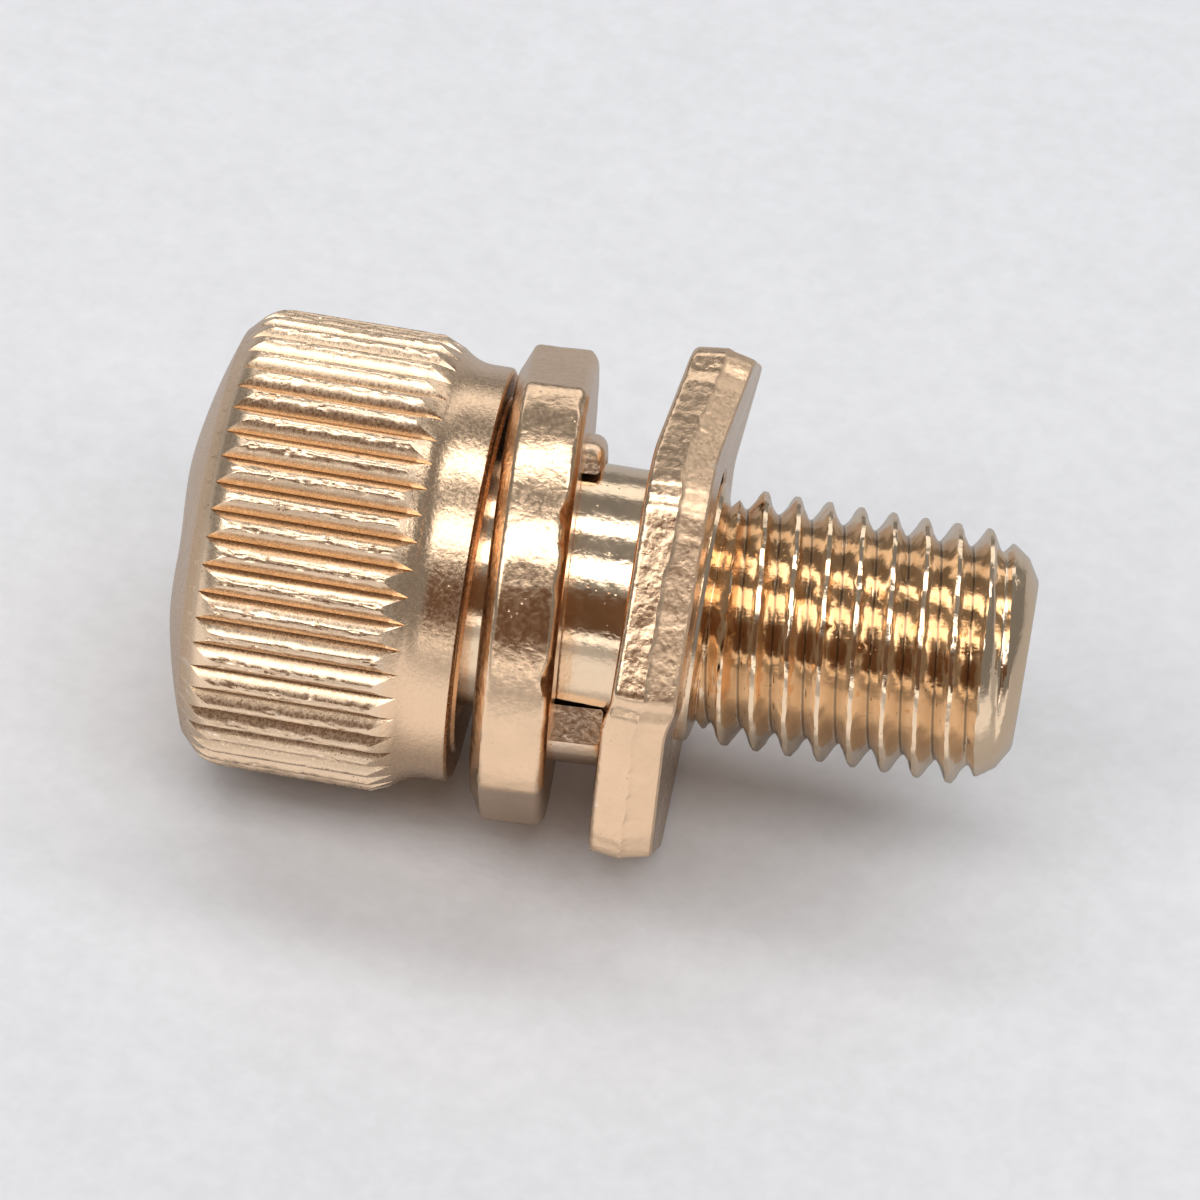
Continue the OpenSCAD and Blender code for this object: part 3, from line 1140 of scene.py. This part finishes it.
@dataclass
class LockWasher:
    """The eight-sided stamping: one side bent, the other stepped, its edge half sheared."""

    bore: float = 3.2
    bore_edge: float = 0.06
    across_flats: float = 11.9
    thickness: float = 1.46
    near_x: float = 3.6917
    offset: float = 0.15
    bend_from: float = 3.4
    bend: float = 9.0
    bend_side: float = -89.0
    bend_soft: float = 0.25
    step: float = 0.15
    step_from: float = 2.2
    step_run: float = 0.9
    flat_side: float = 136.0
    corner_wear: float = 0.4
    corner_soft: float = 0.04
    columns: int = 640
    face_steps: int = 7
    band: int = 14
    taper: float = 0.15
    draft: float = 0.09
    noise_radius: float = 6.0
    marks: Marks = (
        (-60.0, 2.5, 0.05), (-22.0, 2.6, 0.07), (24.5, 2.2, 0.09), (30.0, 2.0, 0.03),
        (66.0, 2.0, 0.05), (112.0, 2.5, 0.05))

    def outer(self, angle: float) -> float:
        """Gives the outline's radius at a side.

        Args:
            angle: The side, in degrees from the near one.

        Returns:
            The radius of the eight-sided outline, with worn corners.
        """
        gap = radians((angle - self.flat_side + 22.5) % 45 - 22.5)
        flat = self.across_flats / 2 / cos(gap)
        worn, soft = self.across_flats / 2 + self.corner_wear, self.corner_soft
        blend = clamp(0.5 + (worn - flat) / (2 * soft))
        return flat * blend + worn * (1 - blend) - soft * blend * (1 - blend)

    def section(self, turn: float) -> Outline:
        """Gives the cross-section at a side: a sheared band, then a torn, tapered one.

        Args:
            turn: The column's turn about +X from +Y, in radians.

        Returns:
            The closed loop, from the bore's head side round the rim and back.
        """
        t, b, angle = self.thickness, self.bore, side_at(turn)
        ring = Vector((cos(turn) * self.noise_radius, sin(turn) * self.noise_radius, 0))
        reach = self.outer(angle) - dents(angle, self.marks)
        tear = 0.52 + 0.10 * ball_noise(ring, 1.9, 1) + 0.05 * ball_noise(ring + Vector((0, 0, 9)), 0.6)
        loop = [(self.bore_edge, b), (0.0, b + self.bore_edge)]
        loop += spaced((0.0, b + self.bore_edge), (0.0, reach - 0.24), self.face_steps)
        for i in range(self.band + 1):
            u = tear * (0.04 + 0.96 * i / self.band)
            place = Vector((t * u * 1.2, ring.x, ring.y))
            roll = 0.10 * max(0.0, 1 - u / 0.09) ** 2
            hammered = 0.016 * abs(ball_noise(place, 0.5, 1)) + 0.004 * abs(ball_noise(place, 0.16, 1))
            loop.append((t * u, reach - roll - hammered - self.draft * (1 - i / self.band)))
        ridge = loop[-1][1]
        for i in range(1, self.band + 1):
            v = i / self.band
            u = tear + (1 - tear) * v
            grain = 0.014 * abs(ball_noise(Vector((t * u * 1.2, ring.x, ring.y + 7)), 0.45))
            end = 0.07 * max(0.0, (v - 0.9) / 0.1) ** 2
            fall = 0.03 * min(1.0, v * 8) + self.taper * v + grain * min(1.0, v * 6) + end
            loop.append((t * u, ridge - fall))
        loop += spaced((t, loop[-1][1]), (t, b + self.bore_edge), self.face_steps)
        return loop + [(t - self.bore_edge, b), (t * 0.5, b)]

    def press(self, vert: Vert) -> None:
        """Bends and steps the flat ring at a point.

        Args:
            vert: A point of the washer.
        """
        y, z = side(self.bend_side)
        out = vert.co.y * y + vert.co.z * z
        lift = eased(out - self.bend_from, self.bend_soft) * tan(radians(self.bend))
        slope = clamp((-out - self.step_from) / self.step_run)
        vert.co.x += lift - self.step * slope * slope * (3 - 2 * slope)

    def build(self, finish: Material, torn: Material) -> Object:
        """Builds the stamping.

        Args:
            finish: The washer's material.
            torn: The material of the torn band of its edge.

        Returns:
            The washer in the rest position.
        """
        mesh = ring_body(self.section, self.columns)
        loop, first = len(mesh.faces) // self.columns, 2 + self.face_steps + self.band
        for i, face in enumerate(mesh.faces):
            face.material_index = int(first <= i % loop < first + self.band)
        for vert in mesh.verts:
            self.press(vert)
        bmesh.ops.translate(mesh, verts=mesh.verts, vec=(self.near_x, 0, self.offset))
        return lie_down("lock_washer_stamping", mesh, 30, finish, torn)


# ---- the studio


@dataclass
class Studio:
    """The pale floor, the soft lights and the camera."""

    lens: float = 200.0
    frame_mm: float = 27.78
    pixels: float = 1200.0
    azimuth: float = 1.6
    roll: float = 10.3
    anchor_px: tuple[float, float] = (483.0, 575.2)
    light_distance: float = 0.6
    card_distance: float = 0.45
    card_half: float = 0.24
    surround: float = 0.22
    # How much darker the floor is painted, in glossy rays, outside the painted glow in front of the screw.
    painted_gloss_shade: float = 0.42
    camera_lift: float = 1.06

    def camera(self) -> None:
        """Puts the camera so that the collar's centre stands at its place in the frame."""
        az, el, roll = (radians(v) for v in (self.azimuth, NEAR_TILT, self.roll))
        back = Vector((sin(az) * cos(el), -cos(az) * cos(el), sin(el)))
        right = Vector((cos(az), sin(az), 0))
        up = back.cross(right)
        right, up = (right * cos(roll) + up * sin(roll),
                     up * cos(roll) - right * sin(roll))
        scale = self.frame_mm * MM / self.pixels
        across, down = (self.pixels / 2 - v for v in self.anchor_px)
        target = Rest().matrix() @ Vector((0, 0, 0)) + right * across * scale - up * down * scale
        distance = self.frame_mm * MM / 2 / (SENSOR / 2 / self.lens)
        data = bpy.data.cameras.new("camera")
        data.lens, data.sensor_width = self.lens, SENSOR
        data.clip_start, data.clip_end = 0.01, 10
        camera = link("camera", data)
        camera.matrix_world = placed(target + back * distance, right, up, back)
        bpy.context.scene.camera = camera

    def softbox(self, name: str, rise: float, spread: float, length: float, radiance: float,
                azimuth: float = 0.0) -> None:
        """Adds a soft light at an angle over the object.

        Args:
            name: The light's name.
            rise: Its angle from the front horizon over the top, in degrees.
            spread: Its width across that arc, in degrees.
            length: Its length along the object, in metres.
            radiance: Its brightness, where 1 is white.
            azimuth: Its turn to one side, in degrees.
        """
        a, turn = radians(rise), Matrix.Rotation(radians(azimuth), 3, "Z")
        away = turn @ Vector((0, -cos(a), sin(a)))
        along = turn @ Vector((1, 0, 0))
        data = bpy.data.lights.new(name, "AREA")
        data.shape, data.size = "RECTANGLE", length
        data.size_y = 2 * self.light_distance * tan(radians(spread / 2))
        data.energy = radiance * pi * data.size * data.size_y
        place = placed(away * self.light_distance, along, away.cross(along), away)
        link(name, data).matrix_world = place

    def floor(self) -> None:
        """Lays the pale paper floor, evenly bright to the camera, with a painted glow in front of the screw
        and painted shade elsewhere that only the metal's reflections show.
        """
        mesh = bmesh.new()
        bmesh.ops.create_grid(mesh, x_segments=1, y_segments=1, size=1.5)
        floor = new_object("paper_floor", mesh)
        shade = Dressing("pale_paper")
        maths = shade.maths
        where = shade.node("ShaderNodeTexCoord").outputs["Object"]
        fibre = shade.cloud(where, 1500.0, 2.0, 0.7)
        mottle = shade.cloud(where, 330.0, 2.0, 0.6)
        grain = maths("MULTIPLY_ADD", mottle, 0.35, maths("MULTIPLY", fibre, 0.65))
        tone = shade.mix(shade.ramp(grain, 0.2, 0.8), (0.735, 0.74, 0.76), (0.81, 0.815, 0.84))
        path = shade.node("ShaderNodeLightPath").outputs
        gloss = path["Is Glossy Ray"]
        split = shade.node("ShaderNodeSeparateXYZ", {"Vector": where})
        # Painted light: in glossy rays only, a band from 5 to 45 mm in front of the screw glows, and the
        # floor under, behind and beyond it is painted darker as shade.
        ahead = maths("MULTIPLY", split.outputs["Y"], -1 / MM)
        painted_glow = maths("MULTIPLY", shade.ramp(ahead, 5.0, 9.0), shade.ramp(ahead, 22.0, 45.0, 1.0, 0.0))
        dim = maths("MULTIPLY_ADD", painted_glow, self.painted_gloss_shade, -self.painted_gloss_shade)
        gain = maths("MULTIPLY_ADD", gloss, dim, self.camera_lift)
        lifted = shade.mix(1.0, tone, gain, blend_type="MULTIPLY", clamp_result=False)
        seen = maths("MAXIMUM", path["Is Camera Ray"], gloss)
        material = shade.dress({
            "Roughness": 0.9, "Specular IOR Level": 0.1, "Base Color": shade.mix(seen, tone, lifted),
            "Emission Color": (1.0, 0.99, 0.97, 1),
            "Emission Strength": maths("MULTIPLY", gloss, maths("MULTIPLY", painted_glow, 0.14)),
            "Normal": shade.bump(fibre, 0.6, 0.03 * MM)})
        material.cycles.emission_sampling = "NONE"
        floor.data.materials.append(material)

    def backdrop(self, name: str, azimuth: float, low: float, high: float) -> None:
        """Stands a dark brown card round one side, out of the picture, in place of the shade round the
        camera, so the metal reflects it as painted shade.

        Args:
            name: The card's name.
            azimuth: Its direction, in degrees from the front towards +X.
            low: The rise of its lower edge, in degrees.
            high: The rise of its upper edge, in degrees.
        """
        turn, half = radians(azimuth), self.card_half
        out = Vector((sin(turn), -cos(turn), 0))
        across = Vector((cos(turn), sin(turn), 0))
        mesh = bmesh.new()
        corners = []
        for rise, reach in ((low, -half), (low, half), (high, half), (high, -half)):
            a = radians(rise)
            away = out * cos(a) + Vector((0, 0, sin(a)))
            corners.append(mesh.verts.new(away * self.card_distance + across * reach))
        mesh.faces.new(corners)
        card = new_object(name, mesh)
        # Its brown colour sets the painted shade that the metal reflects.
        card.data.materials.append(Dressing(name).dress({
            "Base Color": (0.2, 0.1, 0.045, 1), "Roughness": 0.8}))

    def world(self) -> None:
        """Sets an even, dim surround."""
        world = bpy.data.worlds.new("surround")
        world.use_nodes = True
        sky = world.node_tree.nodes["Background"].inputs
        sky["Color"].default_value = (0.96, 0.98, 1.0, 1)
        sky["Strength"].default_value = self.surround
        bpy.context.scene.world = world

    def build(self) -> None:
        """Sets the floor, lights, surround and camera."""
        self.floor()
        self.world()
        for light in (("top_softbox", 107, 14, 0.9, 3.4), ("front_softbox", 67, 19, 0.9, 3.0),
                      ("back_strip", 153, 18, 0.9, 1.0), ("left_front_softbox", 40, 18, 0.36, 3.0, -43),
                      ("low_front_strip", 5.5, 8, 0.9, 1.3)):
            self.softbox(*light)
        self.backdrop("front_backdrop", 0, 11, 47)
        self.camera()
        bpy.context.scene.view_settings.view_transform = "Standard"


def main() -> None:
    logging.basicConfig(level=logging.INFO, format="%(name)s: %(message)s")
    groups = {"tumbled": tumbled_skin_group(), "wear": edge_wear_group()}
    head = BronzeFinish("tumbled_head_bronze", 0.17)
    screw = {
        Slot.HEAD: head,
        Slot.STEM: BronzeFinish(
            "cut_thread_bronze", 0.1, colour=(0.94, 0.71, 0.49), worn_colour=(0.95, 0.74, 0.52),
            roughness_spread=0.08, relief=0.6, grain=4.0, hammer=0.5, dirt_and_shade=0.6, groove_shade=0.4),
        Slot.KNURL: BronzeFinish(
            "knurled_bronze", 0.23, colour=(0.93, 0.69, 0.48), relief=0.22, grain=14.0,
            hammer=0.5, dirt_and_shade=0.9, groove_shade=0.6),
        Slot.CROWN: replace(head, name="crown_bronze", worn_colour=head.colour),
    }
    bevelled = BronzeFinish("tumbled_washer_bronze", 0.15, grain=8.0, dirt_and_shade=0.35)
    stamped = BronzeFinish("stamped_washer_bronze", 0.16, relief=0.6, grain=6.0, hammer=1.5)
    torn = BronzeFinish("torn_edge_bronze", 0.28, roughness_spread=0.14, relief=0.7, grain=10.0, hammer=1.5)
    made = (
        (Screw().build({slot: finish.build(groups) for slot, finish in screw.items()}), Node.SCREW),
        (DogWasher().build(bevelled.build(groups)), Node.DOG_WASHER),
        (LockWasher().build(stamped.build(groups), torn.build(groups)), Node.LOCK_WASHER),
    )
    for piece, node in made:
        name, body = node.value
        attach(piece, body)
        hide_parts(name)
        report(piece)
    Studio().build()


if __name__ == "__main__":
    main()
